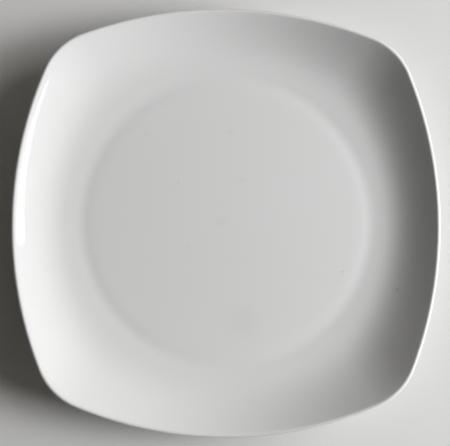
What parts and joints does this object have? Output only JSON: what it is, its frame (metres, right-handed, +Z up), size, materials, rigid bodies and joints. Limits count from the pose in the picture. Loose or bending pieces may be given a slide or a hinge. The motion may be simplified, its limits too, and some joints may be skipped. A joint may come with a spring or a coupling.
{
  "type": "square dinner plate",
  "caption": "Square coupe dinner plate with rounded corners, a shallow round well, a rolled lip and a low foot ring.",
  "frame": {"origin": "centre of the foot ring's resting edge, on the table", "axes": "+Z up, along the plate's axis; X and Y square to the four sides"},
  "size_m": [0.26, 0.26, 0.0295],
  "materials": {
    "bare_porcelain": "fired unglazed porcelain, fine and matt, showing only on the resting edge of the foot ring",
    "white_glaze": "clear gloss glaze over white porcelain"
  },
  "bodies": {
    "root": {"porcelain_body": "bare_porcelain", "glaze_coat": "white_glaze", "base_glaze": "white_glaze"}
  },
  "joints": []
}
